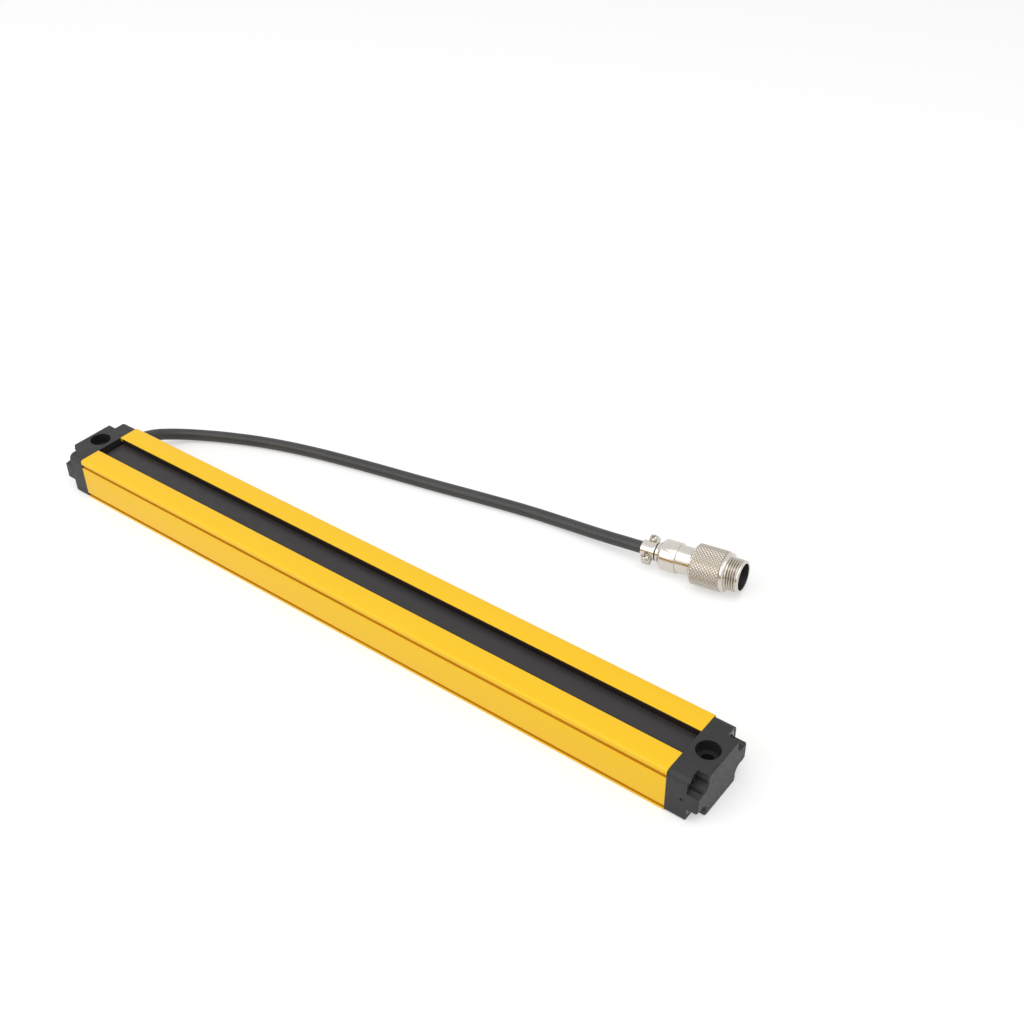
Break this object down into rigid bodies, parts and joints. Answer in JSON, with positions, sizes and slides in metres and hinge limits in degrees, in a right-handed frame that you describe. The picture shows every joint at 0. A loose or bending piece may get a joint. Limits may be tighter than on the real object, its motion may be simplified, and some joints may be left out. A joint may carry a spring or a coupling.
{
  "type": "safety light curtain bar",
  "caption": "Slim yellow safety light curtain bar with a dark front window, grey end caps and a short cable that ends in a threaded round connector.",
  "frame": {"origin": "middle of the bar, on the flat back face that it lies on", "axes": "+X along the bar, away from the cable end; +Y across the bar, out of the side that the cable leaves; +Z out of the front window"},
  "size_m": [0.284, 0.105, 0.0172],
  "materials": {
    "yellow_profile": "satin",
    "window_acrylic": "satin",
    "seal_rubber": "matt",
    "cap_moulding": "matt",
    "gasket_rubber": "matt",
    "screw_steel": "satin",
    "board_laminate": "satin",
    "header_nylon": "matt",
    "carrier_moulding": "matt",
    "boot_rubber": "matt",
    "lead_insulation": "matt",
    "cable_jacket": "satin",
    "plated_metal": "bright",
    "plated_screws": "bright",
    "insulator_nylon": "matt",
    "lens_acrylic": "clear",
    "diode_epoxy": "polished",
    "chip_epoxy": "matt",
    "pin_plating": "bright"
  },
  "bodies": {
    "root": {"housing_profile": "yellow_profile", "front_window": "window_acrylic", "window_seal_near": "seal_rubber", "window_seal_far": "seal_rubber", "end_cap_left": "cap_moulding", "end_cap_right": "cap_moulding", "end_gasket_left": "gasket_rubber", "end_gasket_right": "gasket_rubber", "cap_screws_left": "screw_steel", "cap_screws_right": "screw_steel", "circuit_board": "board_laminate", "board_header": "header_nylon", "optics_carrier": "carrier_moulding", "cable_boot": "boot_rubber", "lead_bundle": "lead_insulation", "cable": "cable_jacket", "clamp_base": "plated_metal", "clamp_saddle": "plated_metal", "clamp_screws": "plated_screws", "cable_seal": "seal_rubber", "connector_barrel": "plated_metal", "coupling_shell": "plated_metal", "connector_insulator": "insulator_nylon", "lens_1": "lens_acrylic", "lens_2": "lens_acrylic", "lens_3": "lens_acrylic", "lens_4": "lens_acrylic", "lens_5": "lens_acrylic", "lens_6": "lens_acrylic", "lens_7": "lens_acrylic", "lens_8": "lens_acrylic", "beam_diode_1": "diode_epoxy", "beam_diode_2": "diode_epoxy", "beam_diode_3": "diode_epoxy", "beam_diode_4": "diode_epoxy", "beam_diode_5": "diode_epoxy", "beam_diode_6": "diode_epoxy", "beam_diode_7": "diode_epoxy", "beam_diode_8": "diode_epoxy", "drive_chip_1": "chip_epoxy", "drive_chip_2": "chip_epoxy", "drive_chip_3": "chip_epoxy", "contact_pin_1": "pin_plating", "contact_pin_2": "pin_plating", "contact_pin_3": "pin_plating", "contact_pin_4": "pin_plating"}
  },
  "joints": []
}
